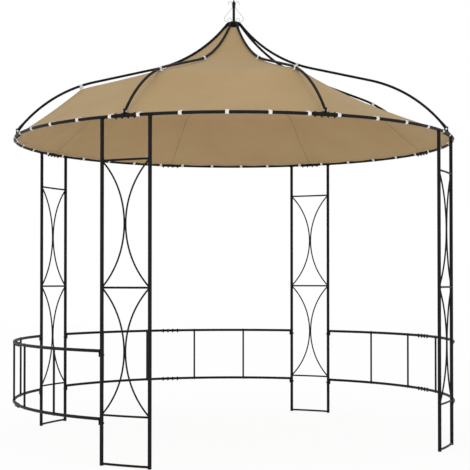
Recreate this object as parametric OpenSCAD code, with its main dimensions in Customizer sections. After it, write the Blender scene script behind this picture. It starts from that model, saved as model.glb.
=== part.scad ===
// Round garden gazebo: four lattice legs, a segmented roof ring, eight swept ribs over a tied canopy,
// three baluster railings with an open entrance, and a spear finial with wire scrolls.
// Millimetres, +Z up, origin on the ground under the finial, entrance towards -Y.
// An azimuth of 0 faces -Y and grows towards +X.

/* [Overall] */
// Diameter of the roof ring, legs and railings, on the tube centre lines
ring_d = 2930; // [2600:10:3300]
// Height of the roof ring's centre line above the ground
ring_h = 1974; // [1800:2:2200]

/* [Roof ring] */
// Outside diameter of the ring tube
ring_tube = 19; // [16:0.5:25]
// Outside diameter of the sleeves that join the ring's arcs
sleeve_d = 23; // [22.5:0.5:30]
// Length of each sleeve
sleeve_len = 146; // [120:2:200]
// Width of the lugs that carry a rib's foot, along the radius
lug_w = 24; // [18:1:32]
// Height of the lugs above the sleeve
lug_h = 26; // [20:1:30]
// Thickness of a lug
lug_t = 3; // [2:0.5:5]

/* [Ribs] */
// Outside diameter of a rib tube
rib_tube = 16; // [12:0.5:20]
// Height of the rib's foot above the ring's centre line
rib_rise = 26; // [24:0.5:32]
// Slope of the rib at its foot, in degrees
rib_foot_slope = 53.4; // [50:0.2:56]
// Slope of the straight middle length, in degrees
rib_mid_slope = 15.3; // [13:0.1:18]
// Radius of the outer bend, as a share of the ring's radius
rib_bend = 0.63; // [0.6:0.005:0.68]
// Length of the straight middle, as a share of the ring's radius
rib_mid = 0.286; // [0.24:0.002:0.32]
// Radius of the upward sweep to the hub, as a share of the ring's radius
rib_sweep = 0.67; // [0.64:0.005:0.74]
// Thickness of the flattened foot of a rib
tongue_t = 6; // [4:0.5:8]
// Width of the flattened foot of a rib
tongue_w = 20; // [16:1:22]

/* [Hub and finial] */
// Diameter of the hub that the ribs meet
hub_d = 92; // [84:2:110]
// Height of the hub
hub_h = 30; // [28:1:40]
// Height of the finial above the hub
finial_h = 153; // [125:1:200]
// Diameter of the finial's rod
finial_rod = 18; // [14:0.5:20]
// Diameter of the rod's flared foot
foot_d = 32; // [26:1:36]
// Height of that foot
foot_h = 8; // [5:1:12]
// Diameter of the spear at its shoulder
spear_d = 23; // [21:0.5:28]
// Length of the spear from its neck to its tip
spear_len = 42; // [36:1:52]
// Diameter of the scroll wire
scroll_wire = 2; // [2:0.5:5]
// Lean of a scroll's long limb away from the rod, in degrees
scroll_lean = 40; // [36:1:44]
// Radius of the bends at the two ends of that limb
limb_bend = 27; // [20:1:34]
// Radius of the wide turn at the bottom of a scroll
scroll_turn = 20; // [16:1:24]
// Radius of the curl inside that turn
curl_r = 13; // [10:0.5:14]
// Radius of the hook at the top of a scroll
hook_r = 11.5; // [8:0.5:14]
// Azimuth that the finial is turned to, in degrees
finial_turn = -20; // [-45:1:45]

/* [Legs] */
// Distance between the two uprights of a leg, centre to centre
leg_w = 310; // [260:5:360]
// Outside diameter of an upright
upright_tube = 22; // [19:0.5:28]
// Height of the lowest crossbar of a leg
leg_low_z = 286; // [220:2:340]
// Distance from the ring down to the top crossbar
leg_top_gap = 248; // [180:2:300]
// Diameter of the crossbars
crossbar_d = 12; // [8:0.5:14]
// Diameter of the bar that joins the feet
base_bar_d = 14; // [8:0.5:16]
// Diameter of the bent rods that fill a leg
scroll_rod = 10; // [6:0.5:12]
// Length of the saddle that cups the ring on an upright
saddle_len = 26; // [22:1:34]
// Wall of the saddle
saddle_t = 3; // [2:0.5:4]

/* [Railings] */
// Height of the lower rail's centre line
rail_low_z = 262; // [200:2:320]
// Height of the upper rail's centre line
rail_high_z = 647; // [560:1:800]
// Outside diameter of a rail
rail_tube = 19; // [16:0.5:22]
// Diameter of a baluster
baluster_d = 13.5; // [10:0.5:16]
// Height of the flattened tab that a rail ends in, below its centre line
tab_h = 34; // [30:1:50]
// Thickness of that tab
tab_t = 4; // [3:0.5:6]

/* [Canopy] */
// Radius of the lower ties on the ribs, as a share of the ring's radius
tie_low = 0.7235; // [0.68:0.005:0.76]
// Radius of the upper ties on the ribs, as a share of the ring's radius
tie_high = 0.3175; // [0.28:0.005:0.36]
// Distance of the canopy below a rib's centre line at a lower tie
strap_drop = 26; // [22:0.5:32]
// The same distance at the upper tie of the loose corner
loose_drop = 38; // [26:1:50]
// Width of a tie strap
strap_w = 20; // [12:1:24]
// Thickness of a tie strap
strap_t = 1.5; // [1:0.1:2]
// Extra slack of the canopy between the two ties of a rib
tie_slack = 4; // [2:1:20]
// Slack of the canopy between the lower ties and the ring
skirt_slack = 20; // [6:1:30]
// Slack of the corner that is let off its lower tie
loose_slack = 36; // [20:1:60]
// Slack of that corner's crown, between its upper tie and the peak
crown_slack = 100; // [20:1:110]
// Slack of the crown along the next rib, as a share of that
next_slack = 0.75; // [0:0.05:1]
// Thickness of the canopy
canopy_t = 3; // [2:0.5:4]

/* [Hidden] */
$fn = 48;

// Clearance between pieces that seat on each other
seat = 0.3;
// Facets around a thin wire and a rib, and degrees between their sections
wire_sides = 10;
wire_turn = 15;
rib_sides = 16;
rib_turn = 3;
// Colours of the painted steel, the cloth and the straps
steel = [0.16, 0.16, 0.17];
cloth = [0.68, 0.59, 0.455];
strap = [0.93, 0.92, 0.9];

rib_count = 8;
rib_step = 360 / rib_count;
ring_r = ring_d / 2;

// Azimuths of the legs, in the order front left, front right, back right, back left
leg_az = [-rib_step, rib_step, 3 * rib_step, -3 * rib_step];
// The corner whose lower tie is undone
loose_rib = 2;

// Corner points of a rib: foot, end of the outer bend, end of the straight middle
foot_z = ring_h + rib_rise;
bend_r = rib_bend * ring_r;
bend_c = [ring_r - bend_r * sin(rib_foot_slope), foot_z - bend_r * cos(rib_foot_slope)];
bend_end = bend_c + bend_r * [sin(rib_mid_slope), cos(rib_mid_slope)];
mid_len = rib_mid * ring_r;
mid_end = bend_end + mid_len * [-cos(rib_mid_slope), sin(rib_mid_slope)];
sweep_r = rib_sweep * ring_r;
sweep_c = mid_end + sweep_r * [sin(rib_mid_slope), cos(rib_mid_slope)];
hub_r = hub_d / 2;
// Slope of the rib where it ends at the hub's rim, and the radius of its end
rim_slope = asin(sin(rib_mid_slope) + (mid_end[0] - hub_r) / sweep_r);
rib_end_r = hub_r + seat + rib_tube / 2 * sin(rim_slope);
hub_slope = asin(sin(rib_mid_slope) + (mid_end[0] - rib_end_r) / sweep_r);

// Height of a rib's centre line at radius r
function rib_z(r) =
    r >= bend_end[0] ? bend_c[1] + sqrt(bend_r * bend_r - (r - bend_c[0]) * (r - bend_c[0]))
    : r >= mid_end[0] ? bend_end[1] + (bend_end[0] - r) * tan(rib_mid_slope)
    : sweep_c[1] - sqrt(sweep_r * sweep_r - (r - sweep_c[0]) * (r - sweep_c[0]));

// Slope of a rib's centre line at radius r
function rib_slope(r) =
    r >= bend_end[0] ? asin((r - bend_c[0]) / bend_r)
    : r >= mid_end[0] ? rib_mid_slope
    : asin((sweep_c[0] - r) / sweep_r);

hub_z = rib_z(hub_r) - hub_h / 2;
finial_z = hub_z + hub_h;

// Canopy: hem inside the ring, ties on the ribs, peak under the hub
band_r = ring_tube / 2 + seat + strap_t;
hem_r = ring_r - max(band_r, sleeve_d / 2) - seat;
hem_z = ring_h + canopy_t;
low_r = tie_low * ring_r;
high_r = tie_high * ring_r;
peak_r = hub_r / 2;
peak_z = hub_z - seat;
gore_div = 6;
skirt_rows = 8;
roof_rows = 6;
crown_rows = 7;
// Below 1 the crown's slack gathers towards the peak
crown_skew = 0.6;

function mix(a, b, t) = a + (b - a) * t;
function bow(t) = sin(180 * t);
function share(r, a, b) = (r - a) / (b - a);

// Drop of the canopy below a rib's centre line where it lies close under the rib
function close_drop(r) = (rib_tube / 2 + strap_t + 2 * seat) / cos(rib_slope(r));

// Sag of the crown from the peak to the upper ties, which gathers towards the peak
function crown_sag(r) = bow(pow(share(r, peak_r, high_r), crown_skew));

// Height of a ridge between the peak and its upper tie, with its drop there and its slack
function crown_z(r, drop, slack) =
    r <= peak_r ? peak_z
    : min(peak_z, rib_z(r) - mix(close_drop(r), drop, share(r, peak_r, high_r))) - slack * crown_sag(r);

// Height of the canopy's ridge under a tied rib, at radius r
function tied_z(r) =
    r <= low_r
    ? rib_z(r) - mix(close_drop(high_r), strap_drop, share(r, high_r, low_r))
        - tie_slack * bow(share(r, high_r, low_r))
    : mix(rib_z(low_r) - strap_drop, hem_z, share(r, low_r, hem_r))
        - skirt_slack * bow(share(r, low_r, hem_r));

// Height of the ridge at the corner that is let off its lower tie
function loose_z(r) =
    mix(rib_z(high_r) - loose_drop, hem_z, share(r, high_r, hem_r))
        - loose_slack * bow(share(r, high_r, hem_r));

function ridge_z(i, r) =
    i == loose_rib ? (r <= high_r ? crown_z(r, loose_drop, crown_slack) : loose_z(r))
    : r > high_r ? tied_z(r)
    : crown_z(r, close_drop(r), i == loose_rib + 1 ? next_slack * crown_slack : 0);

// Rows of the canopy from the peak to the hem
rows = concat(
    [for (i = [0 : crown_rows - 1]) mix(peak_r, high_r, i / crown_rows)],
    [for (i = [0 : roof_rows - 1]) mix(high_r, low_r, i / roof_rows)],
    [for (i = [0 : skirt_rows]) mix(low_r, hem_r, i / skirt_rows)]
);
row_count = len(rows);
turns = rib_count * gore_div;

// Share of a row that is rounded to the ring's circle
function roundness(r) = r <= low_r ? 0 : pow(share(r, low_r, hem_r), 2);

// One point of the canopy on row r, at step i around it
function cloth_point(i, r, drop) =
    let (
        k = floor(i / gore_div),
        t = (i - k * gore_div) / gore_div,
        chord = cos(rib_step / 2) / cos(rib_step * (t - 0.5)),
        rr = r * mix(chord, 1, roundness(r)),
        az = rib_step * (k + t - 1),
        z = mix(ridge_z(k, r), ridge_z((k + 1) % rib_count, r), t)
    )
    [rr * sin(az), -rr * cos(az), z - drop];

// Turns its children to an azimuth
module at_az(az) {
    rotate([0, 0, az])
        children();
}

// Lays its children in the vertical plane of an azimuth: x outwards, y upwards
module radial_plane(az) {
    at_az(az)
        rotate([90, 0, -90])
            children();
}

// Part of a level circle of tube, between two azimuths
module level_arc(r, d, from, to) {
    at_az(from - 90)
        rotate_extrude(angle = to - from)
            translate([r, 0])
                circle(d = d);
}

// Short straight tube lying along the ring at an azimuth
module along_ring(r, d, len) {
    translate([0, -r, 0])
        rotate([0, 90, 0])
            cylinder(d = d, h = len, center = true);
}

// Points [x, y, heading] along a chain of tangent arcs [radius, turn] and straights [0, length],
// with one point for every step degrees of an arc
function chain(p, heading, path, step, i = 0) =
    i == len(path) ? [[p[0], p[1], heading]]
    : let (r = path[i][0], turn = path[i][1])
        r == 0
        ? concat([[p[0], p[1], heading]],
            chain(p + turn * [cos(heading), sin(heading)], heading, path, step, i + 1))
        : let (
            side = sign(turn),
            c = p + r * side * [-sin(heading), cos(heading)],
            start = heading - 90 * side,
            n = ceil(abs(turn) / step)
        )
        concat(
            [for (k = [0 : n - 1])
                let (a = turn * k / n)
                [c[0] + r * cos(start + a), c[1] + r * sin(start + a), heading + a]],
            chain(c + r * [cos(start + turn), sin(start + turn)], heading + turn, path, step, i + 1)
        );

// Bar swept along such points, where halves gives its half sizes in the plane and across it
module swept_bar(pts, halves, sides) {
    last = sides * (len(pts) - 1);
    skin = [for (j = [0 : len(pts) - 1]) for (k = [0 : sides - 1])
        let (a = 360 * k / sides, u = halves[j][0] * cos(a), q = pts[j])
        [q[0] - u * sin(q[2]), q[1] + u * cos(q[2]), halves[j][1] * sin(a)]];
    faces = concat(
        [[for (k = [0 : sides - 1]) k]],
        [[for (k = [0 : sides - 1]) last + sides - 1 - k]],
        [for (j = [0 : len(pts) - 2]) for (k = [0 : sides - 1])
            [sides * j + k, sides * (j + 1) + k, sides * j + (k + 1) % sides]],
        [for (j = [0 : len(pts) - 2]) for (k = [0 : sides - 1])
            [sides * j + (k + 1) % sides, sides * (j + 1) + k, sides * (j + 1) + (k + 1) % sides]]
    );
    polyhedron(points = skin, faces = faces);
}

// Half the angle that a leg takes on the ring's circle
leg_half = asin(leg_w / 2 / ring_r);
leg_top = ring_h - ring_tube / 2 - seat;
cell_h = (ring_h - leg_top_gap - leg_low_z) / 2;
base_bar_z = base_bar_d / 2 + 4;
weld = 1;

// One bent rod of a leg's filling, from the upright to the panel's middle and back
module leg_scroll(side, z) {
    reach = 2 * ring_r * sin(leg_half / 2);
    bow_w = reach - scroll_rod / 2 + weld / 2;
    rise = cell_h / 2;
    rod_r = (rise * rise + bow_w * bow_w) / (2 * bow_w);
    half = asin(rise / rod_r);
    at_az(side * leg_half)
        translate([0, -ring_r, z + rise])
            rotate([90, 0, side > 0 ? 180 - leg_half / 2 : leg_half / 2])
                translate([bow_w - rod_r, 0])
                    rotate([0, 0, -half])
                        rotate_extrude(angle = 2 * half)
                            translate([rod_r, 0])
                                circle(d = scroll_rod);
}

// Half collar on top of an upright that cups the ring
module saddle() {
    difference() {
        translate([0, 0, ring_h])
            along_ring(ring_r, ring_tube + 2 * (seat + saddle_t), saddle_len);
        translate([0, 0, ring_h])
            along_ring(ring_r, ring_tube + 2 * seat, 2 * saddle_len);
        translate([-saddle_len, -ring_r - ring_tube, ring_h - seat])
            cube([2 * saddle_len, 2 * ring_tube, ring_tube]);
    }
}

// Lattice leg: two uprights with saddles, crossbars, base bar and bowed rods
module leg(az) {
    color(steel)
        at_az(az) {
            for (side = [-1, 1]) {
                difference() {
                    at_az(side * leg_half)
                        translate([0, -ring_r, 0])
                            cylinder(d = upright_tube, h = leg_top);
                    translate([0, 0, ring_h])
                        level_arc(ring_r, ring_tube + 2 * seat, -3 * leg_half, 3 * leg_half);
                }
                at_az(side * leg_half)
                    saddle();
                for (k = [0, 1])
                    leg_scroll(side, leg_low_z + k * cell_h);
            }
            for (k = [0 : 2])
                translate([0, 0, leg_low_z + k * cell_h])
                    level_arc(ring_r, crossbar_d, -leg_half, leg_half);
            translate([0, 0, base_bar_z])
                level_arc(ring_r, base_bar_d, -leg_half, leg_half);
        }
}

// Angle taken by half the play between two arc ends
end_play = asin(seat / 2 / ring_r);

// One eighth of the roof ring, from rib i to the next
module ring_arc(i) {
    from = rib_step * (i - 2) + end_play;
    color(steel)
        translate([0, 0, ring_h])
            level_arc(ring_r, ring_tube, from, from + rib_step - 2 * end_play);
}

tongue_tail = 10;
tongue_run = 22;

// Sleeve over the joint of two ring arcs, with the pair of lugs for a rib's foot
module ring_sleeve(i) {
    half = asin(sleeve_len / 2 / ring_r);
    bore_d = ring_tube + 2 * seat;
    color(steel)
        at_az(rib_step * (i - 2))
            difference() {
                union() {
                    translate([0, 0, ring_h])
                        level_arc(ring_r, sleeve_d, -half, half);
                    for (side = [-1, 1])
                        translate([
                            side * (tongue_t / 2 + seat + lug_t / 2) - lug_t / 2,
                            -ring_r - lug_w / 2,
                            ring_h
                        ])
                            cube([lug_t, lug_w, sleeve_d / 2 + lug_h]);
                }
                translate([0, 0, ring_h])
                    level_arc(ring_r, bore_d, -2 * half, 2 * half);
            }
}

// Swept roof rib with a flattened foot, cut square just off the hub's rim
module rib(i) {
    out = [cos(rib_foot_slope), -sin(rib_foot_slope)];
    flat = tongue_run / bend_r * 180 / PI;
    flat_points = 3;
    pts = chain([ring_r, foot_z] + tongue_tail * out, 180 - rib_foot_slope, [
        [0, tongue_tail],
        [bend_r, flat],
        [bend_r, rib_foot_slope - flat - rib_mid_slope],
        [0, mid_len],
        [sweep_r, rib_mid_slope - hub_slope]
    ], rib_turn);
    halves = [for (k = [0 : len(pts) - 1])
        k < flat_points ? [tongue_w / 2, tongue_t / 2] : [rib_tube / 2, rib_tube / 2]];
    color(steel)
        radial_plane(rib_step * (i - 2))
            swept_bar(pts, halves, rib_sides);
}

// Hub that the ribs meet, with bevelled rims
module hub() {
    edge = 3;
    color(steel)
        translate([0, 0, hub_z])
            rotate_extrude()
                polygon([
                    [0, 0],
                    [hub_r - edge, 0],
                    [hub_r, edge],
                    [hub_r, hub_h - edge],
                    [hub_r - edge, hub_h],
                    [0, hub_h]
                ]);
}

// Heights of the spear's neck and shoulder above the hub
neck = finial_h - spear_len;
shoulder = finial_h - spear_len / 2;

// Rod with a flared foot and a spear tip on top of the hub
module finial() {
    tip_r = 1;
    color(steel)
        translate([0, 0, finial_z])
            rotate_extrude()
                polygon([
                    [0, 0],
                    [foot_d / 2, 0],
                    [finial_rod / 2, foot_h],
                    [finial_rod / 2, neck],
                    [spear_d / 2, shoulder],
                    [tip_r, finial_h],
                    [0, finial_h]
                ]);
}

// The same points in the other order, with their headings turned round
function backwards(pts) = [for (k = [len(pts) - 1 : -1 : 0]) [pts[k][0], pts[k][1], pts[k][2] + 180]];

// Four wire scrolls that lean on the finial's rod: a curl on the hub, a long limb and a hook past the spear
module finial_scrolls() {
    spear_gap = 1;
    curl_gap = 5;
    curl_sweep = 240;
    hook_sweep = 170;
    hook_drop = 12;
    hold_r = finial_rod / 2 + seat + scroll_wire / 2;
    hook_lean = atan((spear_d / 2 - finial_rod / 2 + spear_gap) / (shoulder - neck));
    hold_z = neck - limb_bend * sin(hook_lean);
    lie_z = seat + scroll_wire / 2;
    bends = 2 * limb_bend;
    limb = (hold_z - lie_z - scroll_turn - bends * sin(scroll_lean)) / cos(scroll_lean);
    lie_r = hold_r - scroll_turn + bends * (1 - cos(scroll_lean)) + limb * sin(scroll_lean);
    curl_x = finial_rod / 2 + curl_gap + scroll_wire / 2 + curl_r;
    curl = chain([lie_r, lie_z], 180, [[0, lie_r - curl_x], [curl_r, -curl_sweep]], wire_turn);
    rise = chain([lie_r, lie_z], 0, [
        [scroll_turn, 90],
        [limb_bend, scroll_lean],
        [0, limb],
        [limb_bend, -scroll_lean - hook_lean],
        [0, spear_len / 2],
        [hook_r, -hook_sweep],
        [0, hook_drop]
    ], wire_turn);
    pts = concat(backwards(curl), [for (k = [1 : len(rise) - 1]) rise[k]]);
    color(steel)
        translate([0, 0, finial_z])
            for (k = [0 : 3])
                radial_plane(finial_turn + 90 * k)
                    swept_bar(pts, [for (q = pts) [scroll_wire / 2, scroll_wire / 2]], wire_sides);
}

// Half of a railing: two curved rails with end tabs and two balusters, from a leg to the middle joint
module railing_half(az, side) {
    bays = 5;
    half_span = rib_step - leg_half;
    bay = 2 * half_span / bays;
    tab_half = asin((upright_tube / 2 + seat + tab_t / 2) / ring_r);
    from = end_play;
    to = half_span - tab_half;
    color(steel)
        at_az(az)
            mirror([side < 0 ? 1 : 0, 0, 0]) {
                for (z = [rail_low_z, rail_high_z]) {
                    translate([0, 0, z])
                        level_arc(ring_r, rail_tube, from, to);
                    at_az(to)
                        translate([-tab_t / 2, -ring_r - rail_tube / 2, z - tab_h])
                            cube([tab_t, rail_tube, tab_h + rail_tube / 2]);
                }
                for (k = [0, 1])
                    at_az(bay * (k + 0.5))
                        translate([0, -ring_r, rail_low_z])
                            cylinder(d = baluster_d, h = rail_high_z - rail_low_z);
            }
}

// Eight-gored cloth roof that hangs under the ribs and ties to the ring
module canopy() {
    n = turns;
    m = row_count;
    top = [for (r = rows) for (i = [0 : n - 1]) cloth_point(i, r, 0)];
    low = [for (r = rows) for (i = [0 : n - 1]) cloth_point(i, r, canopy_t)];
    last = n * (m - 1);
    faces = concat(
        [[for (i = [0 : n - 1]) n - 1 - i]],
        [[for (i = [0 : n - 1]) n * m + i]],
        [for (j = [0 : m - 2]) for (i = [0 : n - 1]) [n * j + i, n * j + (i + 1) % n, n * (j + 1) + i]],
        [for (j = [0 : m - 2]) for (i = [0 : n - 1])
            [n * j + (i + 1) % n, n * (j + 1) + (i + 1) % n, n * (j + 1) + i]],
        [for (j = [0 : m - 2]) for (i = [0 : n - 1])
            [n * (m + j) + i, n * (m + j + 1) + i, n * (m + j) + (i + 1) % n]],
        [for (j = [0 : m - 2]) for (i = [0 : n - 1])
            [n * (m + j) + (i + 1) % n, n * (m + j + 1) + i, n * (m + j + 1) + (i + 1) % n]],
        [for (i = [0 : n - 1]) [last + i, last + (i + 1) % n, n * m + last + i]],
        [for (i = [0 : n - 1])
            [last + (i + 1) % n, n * m + last + (i + 1) % n, n * m + last + i]]
    );
    color(cloth)
        polyhedron(points = concat(top, low), faces = faces);
}

// Straps that hold the canopy's hem to the ring
module ring_ties() {
    per_arc = 5;
    first = asin((sleeve_len / 2 + strap_w) / ring_r);
    pitch = (rib_step - 2 * first) / (per_arc - 1);
    color(strap)
        for (k = [0 : rib_count - 1])
            for (i = [0 : per_arc - 1])
                at_az(rib_step * k + first + pitch * i)
                    translate([0, 0, ring_h])
                        difference() {
                            along_ring(ring_r, 2 * band_r, strap_w);
                            along_ring(ring_r, ring_tube + 2 * seat, 2 * strap_w);
                        }
}

// One strap around rib k at radius r, with its tail down to the canopy
module rib_tie(k, r) {
    slope = rib_slope(r);
    band = rib_tube / 2 + seat + strap_t;
    edge = strap_w / 2 * cos(slope);
    hang = min([for (e = [r - edge, r + edge]) rib_z(e) - ridge_z(k, e)]);
    reach = hang * cos(slope) - seat;
    radial_plane(rib_step * (k - 1))
        translate([r, rib_z(r)])
            rotate([0, 0, -slope])
                difference() {
                    union() {
                        rotate([0, 90, 0])
                            cylinder(r = band, h = strap_w, center = true);
                        translate([-strap_w / 2, -reach, -strap_t / 2])
                            cube([strap_w, reach, strap_t]);
                    }
                    rotate([0, 90, 0])
                        cylinder(d = rib_tube + 2 * seat, h = 2 * strap_w, center = true);
                }
}

// Straps that hold the canopy's ridges to the ribs
module rib_ties() {
    color(strap)
        for (k = [0 : rib_count - 1]) {
            rib_tie(k, high_r);
            if (k != loose_rib)
                rib_tie(k, low_r);
        }
}

leg(leg_az[0]);  // leg_front_left
leg(leg_az[1]);  // leg_front_right
leg(leg_az[2]);  // leg_back_right
leg(leg_az[3]);  // leg_back_left
ring_arc(1);  // ring_arc_1
ring_arc(2);  // ring_arc_2
ring_arc(3);  // ring_arc_3
ring_arc(4);  // ring_arc_4
ring_arc(5);  // ring_arc_5
ring_arc(6);  // ring_arc_6
ring_arc(7);  // ring_arc_7
ring_arc(8);  // ring_arc_8
ring_sleeve(1);  // ring_sleeve_1
ring_sleeve(2);  // ring_sleeve_2
ring_sleeve(3);  // ring_sleeve_3
ring_sleeve(4);  // ring_sleeve_4
ring_sleeve(5);  // ring_sleeve_5
ring_sleeve(6);  // ring_sleeve_6
ring_sleeve(7);  // ring_sleeve_7
ring_sleeve(8);  // ring_sleeve_8
rib(1);  // rib_1
rib(2);  // rib_2
rib(3);  // rib_3
rib(4);  // rib_4
rib(5);  // rib_5
rib(6);  // rib_6
rib(7);  // rib_7
rib(8);  // rib_8
railing_half(-90, 1);  // railing_left_front
railing_half(-90, -1);  // railing_left_back
railing_half(180, 1);  // railing_back_left
railing_half(180, -1);  // railing_back_right
railing_half(90, 1);  // railing_right_back
railing_half(90, -1);  // railing_right_front
hub();
finial();
finial_scrolls();
canopy();
ring_ties();
rib_ties();
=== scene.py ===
import math
import random

import bmesh
import bpy
from mathutils import Matrix, Vector


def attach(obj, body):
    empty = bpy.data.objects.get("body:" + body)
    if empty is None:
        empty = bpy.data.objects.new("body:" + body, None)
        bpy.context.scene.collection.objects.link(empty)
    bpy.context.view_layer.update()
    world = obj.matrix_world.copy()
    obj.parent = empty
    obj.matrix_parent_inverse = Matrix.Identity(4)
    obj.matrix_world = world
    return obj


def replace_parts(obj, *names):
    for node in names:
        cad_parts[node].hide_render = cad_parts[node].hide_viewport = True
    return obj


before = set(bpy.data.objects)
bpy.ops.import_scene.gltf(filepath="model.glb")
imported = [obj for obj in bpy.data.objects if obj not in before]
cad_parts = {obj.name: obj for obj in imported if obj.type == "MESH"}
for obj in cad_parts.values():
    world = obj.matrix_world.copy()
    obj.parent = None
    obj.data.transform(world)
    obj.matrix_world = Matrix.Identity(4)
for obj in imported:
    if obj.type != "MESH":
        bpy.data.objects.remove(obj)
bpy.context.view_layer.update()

scene = bpy.context.scene
scene.view_settings.view_transform = "Standard"
chance = random.Random(4)

# sizes of the frame in metres; azimuth 0 is the entrance (-Y) and grows towards +X
gap = 0.0003  # between pieces that lie against each other
roof = {
    "ringRadius": 1.465,
    "ringHeight": 1.974,
    "ringTube": 0.019,
    "sleeveTube": 0.023,
    "sleeveLength": 0.146,
    "ribCount": 8,
    "ribTube": 0.016,
    "footRise": 0.026,
    "footSlope": 53.4,
    "midSlope": 15.3,
    "bendShare": 0.63,
    "midShare": 0.286,
    "sweepShare": 0.67,
    "hubRadius": 0.046,
    "hubHeight": 0.030,
}
ribStep = 360 / roof["ribCount"]


def along(azimuth, radius, height):
    a = math.radians(azimuth)
    return Vector((radius * math.sin(a), -radius * math.cos(a), height))


def mix(a, b, t):
    return a + (b - a) * t


def clip(t):
    return min(max(t, 0), 1)


def bow(t):
    return math.sin(math.pi * clip(t))


def share(value, start, end):
    return (value - start) / (end - start)


# centre line of a rib: outer bend, straight middle, upward sweep
footHeight = roof["ringHeight"] + roof["footRise"]
bendRadius = roof["bendShare"] * roof["ringRadius"]
midLength = roof["midShare"] * roof["ringRadius"]
sweepRadius = roof["sweepShare"] * roof["ringRadius"]
footAngle = math.radians(roof["footSlope"])
midAngle = math.radians(roof["midSlope"])
bendCentre = (
    roof["ringRadius"] - bendRadius * math.sin(footAngle),
    footHeight - bendRadius * math.cos(footAngle),
)
bendEnd = (
    bendCentre[0] + bendRadius * math.sin(midAngle),
    bendCentre[1] + bendRadius * math.cos(midAngle),
)
midEnd = (
    bendEnd[0] - midLength * math.cos(midAngle),
    bendEnd[1] + midLength * math.sin(midAngle),
)
sweepCentre = (
    midEnd[0] + sweepRadius * math.sin(midAngle),
    midEnd[1] + sweepRadius * math.cos(midAngle),
)


def ribHeight(r):
    if r >= bendEnd[0]:
        return bendCentre[1] + math.sqrt(bendRadius ** 2 - (r - bendCentre[0]) ** 2)
    if r >= midEnd[0]:
        return bendEnd[1] + (bendEnd[0] - r) * math.tan(midAngle)
    return sweepCentre[1] - math.sqrt(sweepRadius ** 2 - (r - sweepCentre[0]) ** 2)


def ribSlope(r):
    if r >= bendEnd[0]:
        return math.asin((r - bendCentre[0]) / bendRadius)
    if r >= midEnd[0]:
        return midAngle
    return math.asin((sweepCentre[0] - r) / sweepRadius)


hubTop = ribHeight(roof["hubRadius"]) + roof["hubHeight"] / 2

# camera, fitted to the tubes and joints of the frame
view = {
    "azimuth": -20.366,
    "distance": 7.556,
    "height": 1.0419,
    "pitch": 0.936,
    "lens": 85.03,
    "sensor": 36,
    "shift": (0.00259, 0.0598),
}
cameraData = bpy.data.cameras.new("camera")
cameraData.sensor_width = view["sensor"]
cameraData.lens = view["lens"]
cameraData.shift_x, cameraData.shift_y = view["shift"]
camera = bpy.data.objects.new("camera", cameraData)
camera.location = along(view["azimuth"], view["distance"], view["height"])
camera.rotation_euler = (math.radians(90 + view["pitch"]), 0, math.radians(view["azimuth"]))
scene.collection.objects.link(camera)
scene.camera = camera
print("camera set")

# materials
waveRun = 0.314  # length in which a wave texture of scale 1 repeats


def hexToLinear(text):
    channels = [int(text[i:i + 2], 16) / 255 for i in (1, 3, 5)]
    return tuple(c / 12.92 if c <= 0.04045 else ((c + 0.055) / 1.055) ** 2.4 for c in channels) + (1.0,)


def addNode(tree, kind, settings=(), links=()):
    node = tree.nodes.new(kind)
    for name, value in dict(settings).items():
        if name == "stops":
            for stop, (position, colour) in zip(node.color_ramp.elements, value):
                stop.position = position
                stop.color = hexToLinear(colour)
        elif isinstance(name, int) or name in node.inputs:
            node.inputs[name].default_value = value
        else:
            setattr(node, name, value)
    for name, source in dict(links).items():
        tree.links.new(source, node.inputs[name])
    return node


def newMaterial(name):
    material = bpy.data.materials.new(name)
    material.use_nodes = True
    material.node_tree.nodes.clear()
    return material, material.node_tree


# satin black polyester powder coat, sprayed and baked on steel tube: deep black, faint broad sheen
coat = {
    "tones": ((0.35, "#101011"), (0.70, "#191919")),  # black, greyer where worn
    "peelSize": 0.0025,
    "patchSize": 0.12,
    "roughness": (0.42, 0.56),
    "ior": 1.5,
    "specular": 0.11,
    "bump": 0.02,
    "bumpDepth": 0.0004,
}
powderCoat, tree = newMaterial("satinBlackPowderCoat")
place = addNode(tree, "ShaderNodeTexCoord").outputs["Object"]
peel = addNode(
    tree, "ShaderNodeTexNoise",
    {"Scale": 1 / coat["peelSize"], "Detail": 2.0},
    {"Vector": place},
)
patch = addNode(
    tree, "ShaderNodeTexNoise",
    {"Scale": 1 / coat["patchSize"], "Detail": 3.0},
    {"Vector": place},
)
tone = addNode(tree, "ShaderNodeValToRGB", {"stops": coat["tones"]}, {"Fac": patch.outputs["Fac"]})
shine = addNode(
    tree, "ShaderNodeMapRange",
    {"To Min": coat["roughness"][0], "To Max": coat["roughness"][1]},
    {"Value": patch.outputs["Fac"]},
)
bump = addNode(
    tree, "ShaderNodeBump",
    {"Strength": coat["bump"], "Distance": coat["bumpDepth"]},
    {"Height": peel.outputs["Fac"]},
)
coated = addNode(
    tree, "ShaderNodeBsdfPrincipled",
    {"IOR": coat["ior"], "Specular IOR Level": coat["specular"]},
    {
        "Base Color": tone.outputs["Color"],
        "Roughness": shine.outputs["Result"],
        "Normal": bump.outputs["Normal"],
    },
)
addNode(tree, "ShaderNodeOutputMaterial", links={"Surface": coated.outputs["BSDF"]})

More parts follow.
